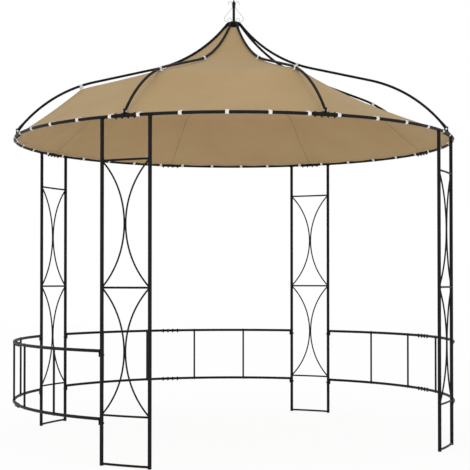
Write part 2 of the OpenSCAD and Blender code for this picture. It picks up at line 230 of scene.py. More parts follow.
# sand polyester cloth, plain weave with a proofed back: matt face, light glows a little through it
cloth = {
    "tones": ((0.30, "#b89e74"), (0.85, "#c3a97e")),  # darker tone, reached between the threads as painted shade and at random; sand
    "glow": "#d0a35d",
    "through": 0.23,
    "thread": 0.004,  # about 0.4 mm in the real cloth, drawn ten times as coarse so that it shows
    "waver": 0.6,
    "weaveShadeShare": 0.25,
    "patchSize": 0.35,
    "roughness": 0.85,
    "specular": 0.2,
    "sheen": 0.05,
    "sheenRoughness": 0.5,
    "bump": 0.25,
    "bumpDepth": 0.0006,
}
canopyCloth, tree = newMaterial("proofedPolyesterCloth")
place = addNode(tree, "ShaderNodeUVMap", {"uv_map": "weave"}).outputs["UV"]
spot = addNode(tree, "ShaderNodeTexCoord").outputs["Object"]
threads = {"Scale": waveRun / cloth["thread"], "Distortion": cloth["waver"], "Detail": 1.0}
warp = addNode(tree, "ShaderNodeTexWave", dict(threads, bands_direction="X"), {"Vector": place})
weft = addNode(tree, "ShaderNodeTexWave", dict(threads, bands_direction="Y"), {"Vector": place})
# the weave paints shade between the threads into the colour, and also drives the bump
weave = addNode(
    tree, "ShaderNodeMath",
    {"operation": "MULTIPLY"},
    {0: warp.outputs["Fac"], 1: weft.outputs["Fac"]},
)
patch = addNode(
    tree, "ShaderNodeTexNoise",
    {"Scale": 1 / cloth["patchSize"], "Detail": 4.0, "Roughness": 0.6},
    {"Vector": spot},
)
blend = addNode(
    tree, "ShaderNodeMath",
    {"operation": "MULTIPLY_ADD", "use_clamp": True, 1: cloth["weaveShadeShare"]},
    {0: weave.outputs["Value"], 2: patch.outputs["Fac"]},
)
tone = addNode(tree, "ShaderNodeValToRGB", {"stops": cloth["tones"]}, {"Fac": blend.outputs["Value"]})
bump = addNode(
    tree, "ShaderNodeBump",
    {"Strength": cloth["bump"], "Distance": cloth["bumpDepth"]},
    {"Height": weave.outputs["Value"]},
)
face = addNode(
    tree, "ShaderNodeBsdfPrincipled",
    {
        "Roughness": cloth["roughness"],
        "Specular IOR Level": cloth["specular"],
        "Sheen Weight": cloth["sheen"],
        "Sheen Roughness": cloth["sheenRoughness"],
    },
    {"Base Color": tone.outputs["Color"], "Normal": bump.outputs["Normal"]},
)
through = addNode(
    tree, "ShaderNodeBsdfTranslucent",
    {"Color": hexToLinear(cloth["glow"])},
    {"Normal": bump.outputs["Normal"]},
)
mixed = addNode(
    tree, "ShaderNodeMixShader",
    {"Fac": cloth["through"]},
    {1: face.outputs["BSDF"], 2: through.outputs["BSDF"]},
)
addNode(tree, "ShaderNodeOutputMaterial", links={"Surface": mixed.outputs["Shader"]})

# the same cloth folded double under the seams: less light comes through it, and its colour is darkened as
# painted shade
shadedFold = {"tones": ("#a0875f", "#ad946c"), "through": 0.04}
shadedSewnFold = canopyCloth.copy()
shadedSewnFold.name = "sewnClothFoldPaintedShade"
for node in shadedSewnFold.node_tree.nodes:
    if node.type == "VALTORGB":
        for stop, colour in zip(node.color_ramp.elements, shadedFold["tones"]):
            stop.color = hexToLinear(colour)
    if node.type == "MIX_SHADER":
        node.inputs["Fac"].default_value = shadedFold["through"]

# sand sewing thread, two strands twisted: a slightly glossy line a shade darker than the cloth
thread = {
    "tones": ((0.2, "#8d7452"), (0.8, "#a98f6b")),  # painted shade between the strands, the thread's own colour on them
    "twist": 0.0012,
    "waver": 1.0,
    "roughness": 0.55,
    "specular": 0.35,
}
sewingThread, tree = newMaterial("twistedSewingThread")
place = addNode(tree, "ShaderNodeTexCoord").outputs["Object"]
# the twist's bands paint shade between the strands
strands = addNode(
    tree, "ShaderNodeTexWave",
    {"Scale": waveRun / thread["twist"], "Distortion": thread["waver"], "bands_direction": "DIAGONAL"},
    {"Vector": place},
)
tone = addNode(tree, "ShaderNodeValToRGB", {"stops": thread["tones"]}, {"Fac": strands.outputs["Fac"]})
spun = addNode(
    tree, "ShaderNodeBsdfPrincipled",
    {"Roughness": thread["roughness"], "Specular IOR Level": thread["specular"]},
    {"Base Color": tone.outputs["Color"]},
)
addNode(tree, "ShaderNodeOutputMaterial", links={"Surface": spun.outputs["BSDF"]})

# white polyester webbing, woven in ribs across its width: dull white with fine cross lines
web = {
    "tones": ((0.0, "#d0ceca"), (1.0, "#e9e7e6")),  # painted shade between the ribs, the webbing's own white on them
    "rib": 0.0016,
    "waver": 0.4,
    "roughness": 0.8,
    "specular": 0.25,
    "sheen": 0.08,
    "bump": 0.3,
    "bumpDepth": 0.0003,
}
webbing, tree = newMaterial("wovenWhiteWebbing")
place = addNode(tree, "ShaderNodeUVMap", {"uv_map": "weave"}).outputs["UV"]
# the rib bands paint shade between the ribs and also give the bump
ribs = addNode(
    tree, "ShaderNodeTexWave",
    {"Scale": waveRun / web["rib"], "Distortion": web["waver"], "bands_direction": "Y"},
    {"Vector": place},
)
tone = addNode(tree, "ShaderNodeValToRGB", {"stops": web["tones"]}, {"Fac": ribs.outputs["Fac"]})
bump = addNode(
    tree, "ShaderNodeBump",
    {"Strength": web["bump"], "Distance": web["bumpDepth"]},
    {"Height": ribs.outputs["Fac"]},
)
woven = addNode(
    tree, "ShaderNodeBsdfPrincipled",
    {"Roughness": web["roughness"], "Specular IOR Level": web["specular"], "Sheen Weight": web["sheen"]},
    {"Base Color": tone.outputs["Color"], "Normal": bump.outputs["Normal"]},
)
addNode(tree, "ShaderNodeOutputMaterial", links={"Surface": woven.outputs["BSDF"]})

# bright zinc plate on the lug bolts: pale grey metal with a slightly cloudy shine
zinc = {
    "tones": ((0.3, "#c3c5c7"), (0.7, "#e4e5e6")),  # dull, pale
    "cloudSize": 0.004,
    "roughness": (0.22, 0.42),
}
zincPlate, tree = newMaterial("zincPlatedSteel")
place = addNode(tree, "ShaderNodeTexCoord").outputs["Object"]
cloud = addNode(
    tree, "ShaderNodeTexNoise",
    {"Scale": 1 / zinc["cloudSize"], "Detail": 3.0},
    {"Vector": place},
)
tone = addNode(tree, "ShaderNodeValToRGB", {"stops": zinc["tones"]}, {"Fac": cloud.outputs["Fac"]})
shine = addNode(
    tree, "ShaderNodeMapRange",
    {"To Min": zinc["roughness"][0], "To Max": zinc["roughness"][1]},
    {"Value": cloud.outputs["Fac"]},
)
plated = addNode(
    tree, "ShaderNodeBsdfPrincipled",
    {"Metallic": 1.0},
    {"Base Color": tone.outputs["Color"], "Roughness": shine.outputs["Result"]},
)
addNode(tree, "ShaderNodeOutputMaterial", links={"Surface": plated.outputs["BSDF"]})

# blackened steel of the joint bolts and nuts: dull oily black with a fine, slightly greyer grain
oxide = {
    "tones": ((0.4, "#0e0e0e"), (0.75, "#1c1c1b")),  # black, grey
    "grainSize": 0.002,
    "roughness": (0.38, 0.55),
    "specular": 0.3,
}
blackOxide, tree = newMaterial("blackOxideSteel")
place = addNode(tree, "ShaderNodeTexCoord").outputs["Object"]
grain = addNode(
    tree, "ShaderNodeTexNoise",
    {"Scale": 1 / oxide["grainSize"], "Detail": 2.0},
    {"Vector": place},
)
tone = addNode(tree, "ShaderNodeValToRGB", {"stops": oxide["tones"]}, {"Fac": grain.outputs["Fac"]})
shine = addNode(
    tree, "ShaderNodeMapRange",
    {"To Min": oxide["roughness"][0], "To Max": oxide["roughness"][1]},
    {"Value": grain.outputs["Fac"]},
)
blacked = addNode(
    tree, "ShaderNodeBsdfPrincipled",
    {"Specular IOR Level": oxide["specular"]},
    {"Base Color": tone.outputs["Color"], "Roughness": shine.outputs["Result"]},
)
addNode(tree, "ShaderNodeOutputMaterial", links={"Surface": blacked.outputs["BSDF"]})
print("materials made")

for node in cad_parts.values():
    node.data.materials.clear()
    node.data.materials.append(powderCoat)

# mesh helpers: closed sections skinned one to the next, turned profiles, tubes along a plane curve
sharpAngle = 38  # faces that meet at a larger angle keep a crisp edge


def skin(build, rings, marks=None):
    size = len(rings[0])
    grid = [[build.verts.new(point) for point in ring] for ring in rings]
    layer = build.loops.layers.uv.get("weave") or build.loops.layers.uv.new("weave")
    for j in range(len(rings) - 1):
        for i in range(size):
            corners = ((j, i), (j + 1, i), (j + 1, (i + 1) % size), (j, (i + 1) % size))
            quad = build.faces.new([grid[a][b] for a, b in corners])
            if marks:
                for loop, (a, b) in zip(quad.loops, corners):
                    loop[layer].uv = marks[a][b]
    build.faces.new(grid[0])
    build.faces.new(grid[-1])


def placeAt(point, outward):
    return Matrix.Translation(point) @ outward.to_track_quat("Z", "Y").to_matrix().to_4x4()


def addTurned(build, place, profile, sides):
    turns = [2 * math.pi * k / sides for k in range(sides)]
    rings = []
    for r, h in profile:
        rings.append([place @ Vector((r * math.cos(a), r * math.sin(a), h)) for a in turns])
    skin(build, rings)


def chain(point, heading, path):
    # points (x, y, heading) along tangent arcs (radius, turn, steps) and straights (0, length, steps)
    x, y = point
    points = []
    for radius, run, steps in path:
        h = math.radians(heading)
        if radius == 0:
            for k in range(steps):
                part = run * k / steps
                points.append((x + part * math.cos(h), y + part * math.sin(h), heading))
            x, y = x + run * math.cos(h), y + run * math.sin(h)
            continue
        lever = math.copysign(radius, run)
        cx, cy = x - lever * math.sin(h), y + lever * math.cos(h)
        arc = []
        for k in range(steps + 1):
            angle = heading + run * k / steps
            a = math.radians(angle)
            arc.append((cx + lever * math.sin(a), cy - lever * math.cos(a), angle))
        points += arc[:-1]
        x, y, heading = arc[-1]
    return points + [(x, y, heading)]


def sweep(build, points, sections, azimuth):
    across = along(azimuth + 90, 1, 0)
    rings = []
    for (x, y, heading), section in zip(points, sections):
        h = math.radians(heading)
        up = along(azimuth, -math.sin(h), math.cos(h))
        rings.append([along(azimuth, x, y) + up * u + across * v for u, v in section])
    skin(build, rings)


def addPiece(name, build, material, closed=True):
    if closed:
        bmesh.ops.recalc_face_normals(build, faces=build.faces)
    mesh = bpy.data.meshes.new(name)
    build.to_mesh(mesh)
    build.free()
    mesh.polygons.foreach_set("use_smooth", [True] * len(mesh.polygons))
    mesh.set_sharp_from_angle(angle=math.radians(sharpAngle))
    mesh.materials.append(material)
    piece = bpy.data.objects.new(name, mesh)
    scene.collection.objects.link(piece)
    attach(piece, "root")
    return piece


# ribs: round tube, pressed flat to a rounded tongue at the foot, turned in to the hub's collar on top
tongue = {
    "tail": 0.010,
    "run": 0.022,
    "blend": 0.045,
    "width": 0.020,
    "thickness": 0.006,
    "squareness": 5,
    "tipShare": 0.3,
    "sides": 24,
}
collar = {
    "radius": 0.030,
    "ribBend": 0.040,
    "ribTurn": 30,
    "profile": [
        (0.033, -0.0300), (0.036, -0.0285), (0.036, -0.0220), (0.0345, -0.0205),
        (0.030, -0.0200), (0.030, -0.0025), (0.0285, 0), (0.006, 0),
    ],
    "sides": 48,
}
turnStart = roof["hubRadius"] + gap + roof["ribTube"] / 2 * math.sin(ribSlope(roof["hubRadius"]))
endSlope = math.degrees(ribSlope(turnStart))
seatSlope = math.radians(endSlope - collar["ribTurn"])
turnEnd = turnStart - collar["ribBend"] * (math.sin(math.radians(endSlope)) - math.sin(seatSlope))
seatReach = collar["radius"] + gap + roof["ribTube"] / 2 * math.sin(seatSlope)
seatRun = (turnEnd - seatReach) / math.cos(seatSlope)
flatTurn = math.degrees((tongue["run"] + tongue["blend"]) / bendRadius)
ribStart = (
    roof["ringRadius"] + tongue["tail"] * math.cos(footAngle),
    footHeight - tongue["tail"] * math.sin(footAngle),
)
ribPoints = chain(ribStart, 180 - roof["footSlope"], [
    (0, tongue["tail"], 8),
    (bendRadius, flatTurn, 12),
    (bendRadius, roof["footSlope"] - flatTurn - roof["midSlope"], 30),
    (0, midLength, 4),
    (sweepRadius, roof["midSlope"] - endSlope, 36),
    (collar["ribBend"], collar["ribTurn"], 10),
    (0, seatRun, 2),
])


def ribSection(run):
    t = clip((run - tongue["tail"] - tongue["run"]) / tongue["blend"])
    flat = 1 - t * t * (3 - 2 * t)
    inPlane = mix(roof["ribTube"], tongue["width"], flat) / 2
    crosswise = mix(roof["ribTube"], tongue["thickness"], flat) / 2
    if run < tongue["tail"]:
        inPlane *= max(tongue["tipShare"], math.sqrt(1 - (1 - run / tongue["tail"]) ** 2))
    power = 2 / mix(2, tongue["squareness"], flat)
    section = []
    for k in range(tongue["sides"]):
        a = 2 * math.pi * k / tongue["sides"]
        c, s = math.cos(a), math.sin(a)
        u = inPlane * math.copysign(abs(c) ** power, c)
        v = crosswise * math.copysign(abs(s) ** power, s)
        section.append((u, v))
    return section


runs = [0.0]
for (xa, ya, _), (xb, yb, _) in zip(ribPoints, ribPoints[1:]):
    runs.append(runs[-1] + math.hypot(xb - xa, yb - ya))
ribSections = [ribSection(run) for run in runs]
for i in range(roof["ribCount"]):
    build = bmesh.new()
    sweep(build, ribPoints, ribSections, ribStep * (i - 1))
    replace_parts(addPiece(f"ribTube{i + 1}", build, powderCoat), f"rib_{i + 1}")
build = bmesh.new()
addTurned(build, Matrix.Translation((0, 0, hubTop)), collar["profile"], collar["sides"])
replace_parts(addPiece("hubCollar", build, powderCoat), "hub")
print("ribs bent")

# finial scrolls: a curl on the hub, a long limb and a hook past the spear
scroll = {
    "count": 4,
    "azimuth": -20,
    "wire": 0.002,
    "lean": 40,
    "limbBend": 0.027,
    "turn": 0.020,
    "curl": 0.013,
    "curlSweep": 300,
    "curlGap": 0.005,
    "hook": 0.0115,
    "hookSweep": 170,
    "hookDrop": 0.012,
    "rod": 0.018,
    "finialHeight": 0.153,
    "spearLength": 0.042,
    "spearWidth": 0.023,
    "spearGap": 0.001,
    "sides": 12,
}
neck = scroll["finialHeight"] - scroll["spearLength"]
holdRadius = scroll["rod"] / 2 + gap + scroll["wire"] / 2
spearSide = scroll["spearWidth"] / 2 - scroll["rod"] / 2 + scroll["spearGap"]
hookLean = math.degrees(math.atan(spearSide / (scroll["spearLength"] / 2)))
holdHeight = neck - scroll["limbBend"] * math.sin(math.radians(hookLean))
lieHeight = gap + scroll["wire"] / 2
lean = math.radians(scroll["lean"])
bendRise = 2 * scroll["limbBend"] * math.sin(lean)
bendOut = 2 * scroll["limbBend"] * (1 - math.cos(lean))
limb = (holdHeight - lieHeight - scroll["turn"] - bendRise) / math.cos(lean)
lieRadius = holdRadius - scroll["turn"] + bendOut + limb * math.sin(lean)
curlCentre = scroll["rod"] / 2 + scroll["curlGap"] + scroll["wire"] / 2 + scroll["curl"]
curlPoints = chain((lieRadius, lieHeight), 180, [
    (0, lieRadius - curlCentre, 2),
    (scroll["curl"], -scroll["curlSweep"], 40),
])
risePoints = chain((lieRadius, lieHeight), 0, [
    (scroll["turn"], 90, 20),
    (scroll["limbBend"], scroll["lean"], 10),
    (0, limb, 2),
    (scroll["limbBend"], -scroll["lean"] - hookLean, 16),
    (0, scroll["spearLength"] / 2, 2),
    (scroll["hook"], -scroll["hookSweep"], 32),
    (0, scroll["hookDrop"], 2),
])
wirePoints = [(x, y, heading + 180) for x, y, heading in reversed(curlPoints)] + risePoints[1:]
wirePoints = [(x, y + hubTop, heading) for x, y, heading in wirePoints]
wireTurns = [2 * math.pi * k / scroll["sides"] for k in range(scroll["sides"])]
wireSection = [(scroll["wire"] / 2 * math.cos(a), scroll["wire"] / 2 * math.sin(a)) for a in wireTurns]
build = bmesh.new()
for k in range(scroll["count"]):
    sweep(build, wirePoints, [wireSection] * len(wirePoints), scroll["azimuth"] + 360 / scroll["count"] * k)
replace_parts(addPiece("finialWires", build, powderCoat), "finial_scrolls")
print("finial wires bent")

# plate under the hub that clamps the peak of the cloth
clamp = {
    "profile": [
        (0.030, 0), (0.037, -0.0010), (0.038, -0.0030),
        (0.038, -0.0110), (0.036, -0.0135), (0.028, -0.0140),
    ],
    "depth": 0.014,
    "sides": 40,
}
build = bmesh.new()
clampTop = hubTop - roof["hubHeight"] - gap
addTurned(build, Matrix.Translation((0, 0, clampTop)), clamp["profile"], clamp["sides"])
addPiece("peakClamp", build, powderCoat)

# canopy cloth: hem inside the ring, ridges tied under the ribs, one corner let off its lower tie
canopy = {
    "lowTie": 0.7235,
    "highTie": 0.3175,
    "drop": 0.026,
    "ribDrops": {0: 0.014, 1: 0.012, 3: 0.036},
    "looseDrop": 0.020,
    "strapGap": 0.0018,
    "strapReach": 0.05,
    "tieSlack": 0.004,
    "skirtSlack": 0.009,
    "looseSlack": 0.041,
    "looseSkew": 0.8,
    "crownSlack": {2: 0.100, 3: 0.075},
    "crownSkew": 0.6,
    "looseRib": 2,
    "hemLift": 0.010,
    "peakRadius": 0.030,
    "thickness": 0.0012,
    "goreSteps": 48,
    "rowSteps": (26, 30, 34),
    "fullness": 0.006,
    "fullGores": {1: 0.016},
    "pucker": 0.005,
    "puckerReach": 0.26,
    "probeSteps": 0.3,  # half the span over which the cloth's slope is felt, round the roof
    "probeReach": 0.003,  # and down it
}
hemRadius = roof["ringRadius"] - roof["sleeveTube"] / 2 - gap
hemHeight = roof["ringHeight"] + canopy["hemLift"]
lowRadius = canopy["lowTie"] * roof["ringRadius"]
highRadius = canopy["highTie"] * roof["ringRadius"]
peakHeight = hubTop - roof["hubHeight"] - clamp["depth"] - 2 * gap
goreSpread = 2 * math.tan(math.radians(ribStep / 2))  # width of a gore at radius 1

# straps on the ring: five to an arc, and how far each was tied off its even place, in degrees
ringStrap = {
    "perArc": 5,
    "width": 0.020,
    "thickness": 0.0013,
    "patches": {"top": 0.010, "under": 0.003},
    "patchSteps": (1, 0.6, 0.1),
    "shifts": {
        0: (-0.3, -0.1, 0.7, 0.6, -0.1),
        1: (-0.3, 0.6, 0.6, 0.4, 0.2),
        3: (-0.3, -0.5, -0.5, -0.4, -0.4),
        4: (-0.3, 0.8, -0.2, -0.3, -0.2),
        5: (-0.3, -0.6, -1.0, -0.4, -0.6),
        6: (-0.3, -0.8, -1.0, -0.6, 0.0),
        7: (0.3, -0.4, -0.5, -0.2, -0.2),
    },
    "freeShift": 0.6,  # most on an arc without a row above, where it is left to chance
    "tilt": 2.0,
    "topArc": (118, -50),
    "topSpare": (0, 20),
    "lowArc": (205, 375),
    "lowSpare": (-15, 25),
    "climbStart": 352,
    "climbRun": 14,
    "topSteps": 22,
    "lowSteps": 26,
}
strapLayer = 1.1  # webbing over webbing lies this many thicknesses out
firstTie = math.degrees(math.asin((roof["sleeveLength"] / 2 + ringStrap["width"]) / roof["ringRadius"]))
tiePitch = (ribStep - 2 * firstTie) / (ringStrap["perArc"] - 1)
tieAzimuths = []
for arc in range(roof["ribCount"]):
    shifts = ringStrap["shifts"].get(arc)
    if shifts is None:
        most = ringStrap["freeShift"]
        shifts = [chance.uniform(-most, most) for _ in range(ringStrap["perArc"])]
    start = ribStep * (arc - 1) + firstTie
    tieAzimuths.append([start + tiePitch * i + shift for i, shift in enumerate(shifts)])


def closeDrop(r):
    # under the rib, with room for the strap near a tie
    near = max(0, 1 - min(abs(r - highRadius), abs(r - lowRadius)) / canopy["strapReach"])
    return (roof["ribTube"] / 2 + gap + canopy["strapGap"] * near) / math.cos(ribSlope(r))


def ridgeHeight(k, r):
    loose = k == canopy["looseRib"]
    lowDrop = canopy["ribDrops"].get(k, canopy["drop"])
    if r <= canopy["peakRadius"]:
        return peakHeight
    if r <= highRadius:
        t = share(r, canopy["peakRadius"], highRadius)
        drop = mix(closeDrop(r), canopy["looseDrop"], t) if loose else closeDrop(r)
        slack = canopy["crownSlack"].get(k, 0) * bow(t ** canopy["crownSkew"])
        return min(peakHeight, ribHeight(r) - drop) - slack
    if loose:
        t = share(r, highRadius, hemRadius)
        slack = canopy["looseSlack"] * bow(t ** canopy["looseSkew"])
        return mix(ribHeight(highRadius) - canopy["looseDrop"], hemHeight, t) - slack
    if r <= lowRadius:
        t = share(r, highRadius, lowRadius)
        return ribHeight(r) - mix(closeDrop(highRadius), lowDrop, t) - canopy["tieSlack"] * bow(t)
    t = share(r, lowRadius, hemRadius)
    return mix(ribHeight(lowRadius) - lowDrop, hemHeight, t) - canopy["skirtSlack"] * bow(t)


def puckerDepth(gore, azimuth, r):
    # the hem is drawn up at each strap and hangs a little between them
    reach = max(0, share(r, hemRadius - canopy["puckerReach"], hemRadius))
    if reach == 0:
        return 0
    held = tieAzimuths[gore] + [ribStep * (gore - 1), ribStep * gore]
    away = min(abs(azimuth - tie) for tie in held)
    return canopy["pucker"] * reach ** 2 * bow(away / tiePitch)


def clothPoint(step, r):
    k = min(int(step // canopy["goreSteps"]), roof["ribCount"] - 1)
    t = step / canopy["goreSteps"] - k
    azimuth = ribStep * (k + t - 1)
    chord = math.cos(math.radians(ribStep / 2)) / math.cos(math.radians(ribStep * (t - 0.5)))
    roundness = max(0, share(r, lowRadius, hemRadius)) ** 2
    fullness = canopy["fullGores"].get(k, canopy["fullness"])
    height = mix(ridgeHeight(k, r), ridgeHeight((k + 1) % roof["ribCount"], r), t)
    height -= fullness * bow(t) * bow(share(r, canopy["peakRadius"], hemRadius))
    height -= puckerDepth(k, azimuth, r)
    return along(azimuth, r * mix(chord, 1, roundness), height)


turns = roof["ribCount"] * canopy["goreSteps"]


def clothNormal(step, r):
    aside, below = canopy["probeSteps"], canopy["probeReach"]
    sideways = clothPoint((step + aside) % turns, r) - clothPoint((step - aside) % turns, r)
    outwards = clothPoint(step % turns, min(r + below, hemRadius)) - clothPoint(step % turns, r - below)
    normal = outwards.cross(sideways).normalized()
    return normal if normal.z > 0 else -normal


def overCloth(step, r, lift):
    return clothPoint(step % turns, r) + clothNormal(step, r) * lift


def stepsWide(width, r):
    return width / (r * goreSpread) * canopy["goreSteps"]


stops = [canopy["peakRadius"], highRadius, lowRadius, hemRadius]
rows = []
for i, count in enumerate(canopy["rowSteps"]):
    rows += [mix(stops[i], stops[i + 1], k / count) for k in range(count)]
rows.append(hemRadius)
build = bmesh.new()
weaveLayer = build.loops.layers.uv.new("weave")
grid = [[build.verts.new(clothPoint(i, r)) for i in range(turns)] for r in rows]
peak = build.verts.new((0, 0, peakHeight))
for j in range(len(rows) - 1):
    for i in range(turns):
        corners = ((j, i), (j + 1, i), (j + 1, i + 1), (j, i + 1))
        quad = build.faces.new([grid[a][b % turns] for a, b in corners])
        for loop, (a, b) in zip(quad.loops, corners):
            t = b / canopy["goreSteps"] - i // canopy["goreSteps"]
            loop[weaveLayer].uv = (rows[a] * goreSpread * (t - 0.5), rows[a])
for i in range(turns):
    build.faces.new((grid[0][i], grid[0][(i + 1) % turns], peak))
canopyPiece = addPiece("canopyCloth", build, canopyCloth, closed=False)
thick = canopyPiece.modifiers.new("clothThickness", "SOLIDIFY")
thick.thickness = canopy["thickness"]
thick.offset = -1
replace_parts(canopyPiece, "canopy")

# flat seams between the gores and the folded hem, as low bands on both faces of the cloth
band = {
    "seamWidth": 0.014,
    "seamShare": 0.2,  # of the gore, at most
    "hemWidth": 0.022,
    "lift": 0.0007,
    "section": ((-1, 0), (-0.8, 1), (0, 1), (0.8, 1), (1, 0)),  # rounded down to the cloth at its edges
    "endStep": 0.001,  # keeps the last section on its own gore
}


def bandSection(middle, halfWidth, across):
    # across turns an offset and a lift into a point
    points, marks = [], []
    for x, rise in band["section"]:
        points.append(across(x * halfWidth, rise * band["lift"]))
        marks.append((x * halfWidth, middle))
    for x, rise in reversed(band["section"]):
        points.append(across(x * halfWidth, -canopy["thickness"] - rise * band["lift"]))
        marks.append((x * halfWidth, middle))
    return points, marks


build = bmesh.new()
for k in range(roof["ribCount"]):
    rings, marks = [], []
    ridge = k * canopy["goreSteps"]
    for r in rows:
        half = min(band["seamWidth"] / 2, band["seamShare"] * r * goreSpread)
        points, mark = bandSection(r, half, lambda x, lift: overCloth(ridge + stepsWide(x, r), r, lift))
        rings.append(points)
        marks.append(mark)
    skin(build, rings, marks)
seamPiece = addPiece("canopySeams", build, canopyCloth)
seamPiece.data.materials.append(shadedSewnFold)
for polygon in seamPiece.data.polygons:
    polygon.material_index = int(polygon.normal.z < 0)  # the underside faces take the cloth copy darkened as painted shade; the folded cloth's raw edges lie there
build = bmesh.new()
hemMiddle = hemRadius - band["hemWidth"] / 2
hemStep = math.radians(ribStep) * hemRadius / canopy["goreSteps"]
for k in range(roof["ribCount"]):
    rings, marks = [], []
    lastStep = (k + 1) * canopy["goreSteps"] - band["endStep"]
    for i in range(canopy["goreSteps"] + 1):
        step = min(k * canopy["goreSteps"] + i, lastStep)
        points, mark = bandSection(
            i * hemStep, band["hemWidth"] / 2, lambda x, lift: overCloth(step, hemMiddle + x, lift))
        rings.append(points)
        marks.append(mark)
    skin(build, rings, marks)
hemPiece = addPiece("canopyHem", build, canopyCloth)
print("seams and hem laid")

# two rows of lockstitch along each seam and along the hem, on both faces
stitch = {
    "pitch": 0.008,
    "length": 0.0055,
    "width": 0.0009,
    "seamRow": 0.0045,
    "hemRow": 0.008,
    "peakClear": 0.03,
}
build = bmesh.new()


def addStitch(step, r, stepRun, radiusRun):
    for lift in (band["lift"], -canopy["thickness"] - band["lift"]):
        start = overCloth(step, r, lift)
        end = overCloth(step + stepRun, min(r + radiusRun, hemRadius), lift)
        normal = clothNormal(step, r) * stitch["width"] / 2
        side = (end - start).cross(normal).normalized() * stitch["width"] / 2
        middle = (start + end) / 2
        ring = [build.verts.new(middle + offset) for offset in (normal, side, -normal, -side)]
        tips = [build.verts.new(start), build.verts.new(end)]
        for tip in tips:
            for i in range(4):
                build.faces.new((tip, ring[i], ring[(i + 1) % 4]))


for k in range(roof["ribCount"]):
    for side in (-1, 1):
        r = canopy["peakRadius"] + stitch["peakClear"]
        while r < hemRadius - stitch["pitch"]:
            slope = ribSlope(r)
            step = k * canopy["goreSteps"] + stepsWide(side * stitch["seamRow"], r)
            addStitch(step, r, 0, stitch["length"] * math.cos(slope))
            r += stitch["pitch"] * math.cos(slope)
hemStitches = int(2 * math.pi * hemRadius / stitch["pitch"])
hemStitchRun = stepsWide(stitch["length"], hemRadius)
for i in range(hemStitches):
    for side in (-1, 1):
        addStitch(i * turns / hemStitches, hemMiddle + side * stitch["hemRow"], hemStitchRun, 0)
stitchPiece = addPiece("canopyStitches", build, sewingThread)
print("stitches sewn")


# straps: two arms of webbing, laid along points (x, y) of a plane
def addArm(build, points, origin, xAxis, yAxis, width, thickness):
    across = xAxis.cross(yAxis)
    rings, marks, run = [], [], 0.0
    for i, (x, y) in enumerate(points):
        xa, ya = points[max(i - 1, 0)]
        xb, yb = points[min(i + 1, len(points) - 1)]
        run += math.hypot(x - xa, y - ya)
        length = math.hypot(xb - xa, yb - ya)
        normal = (xAxis * (ya - yb) + yAxis * (xb - xa)) / length
        centre = origin + xAxis * x + yAxis * y
        ring = []
        for u, v in ((-1, 1), (1, 1), (1, -1), (-1, -1)):
            ring.append(centre + across * u * width / 2 + normal * v * thickness / 2)
        rings.append(ring)
        marks.append([(u * width / 2, run) for u in (-1, 1, 1, -1)])
    skin(build, rings, marks)


def arcPoints(start, end, steps, radius, lift=0, liftFrom=0, liftRun=1):
    # points on an arc, which climbs by lift where it passes over the other arm
    points = []
    for k in range(steps + 1):
        angle = mix(start, end, k / steps)
        a = math.radians(angle)
        r = radius + lift * clip((angle - liftFrom) / liftRun)
        points.append((r * math.cos(a), r * math.sin(a)))
    return points


build = bmesh.new()
half = ringStrap["thickness"] / 2
inner = roof["ringTube"] / 2 + gap + half
sewnLifts = {"top": band["lift"] + half, "under": -canopy["thickness"] - band["lift"] - half}
for azimuth in [tie for arc in tieAzimuths for tie in arc]:
    step = (azimuth / ribStep + 1) * canopy["goreSteps"]
    outward = along(azimuth, 1, 0)
    tilt = Matrix.Rotation(math.radians(chance.uniform(-1, 1) * ringStrap["tilt"]), 3, outward)
    origin = along(azimuth, roof["ringRadius"], roof["ringHeight"])
    xAxis, yAxis = tilt @ outward, tilt @ Vector((0, 0, 1))
    sewn = {}
    for face, lift in sewnLifts.items():
        sewn[face] = []
        for part in ringStrap["patchSteps"]:
            spot = overCloth(step, hemRadius - ringStrap["patches"][face] * part, lift) - origin
            sewn[face].append((spot.dot(xAxis), spot.dot(yAxis)))
    topStart, topEnd = ringStrap["topArc"]
    topEnd -= chance.uniform(*ringStrap["topSpare"])
    lowStart, lowEnd = ringStrap["lowArc"]
    lowEnd += chance.uniform(*ringStrap["lowSpare"])
    topArm = sewn["top"] + arcPoints(topStart, topEnd, ringStrap["topSteps"], inner)
    lowArm = sewn["under"] + arcPoints(
        lowStart, lowEnd, ringStrap["lowSteps"], inner, ringStrap["thickness"] * strapLayer,
        topEnd + ringStrap["climbStart"], ringStrap["climbRun"])
    for arm in (topArm, lowArm):
        addArm(build, arm, origin, xAxis, yAxis, ringStrap["width"], ringStrap["thickness"])
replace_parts(addPiece("ringStraps", build, webbing), "ring_ties")

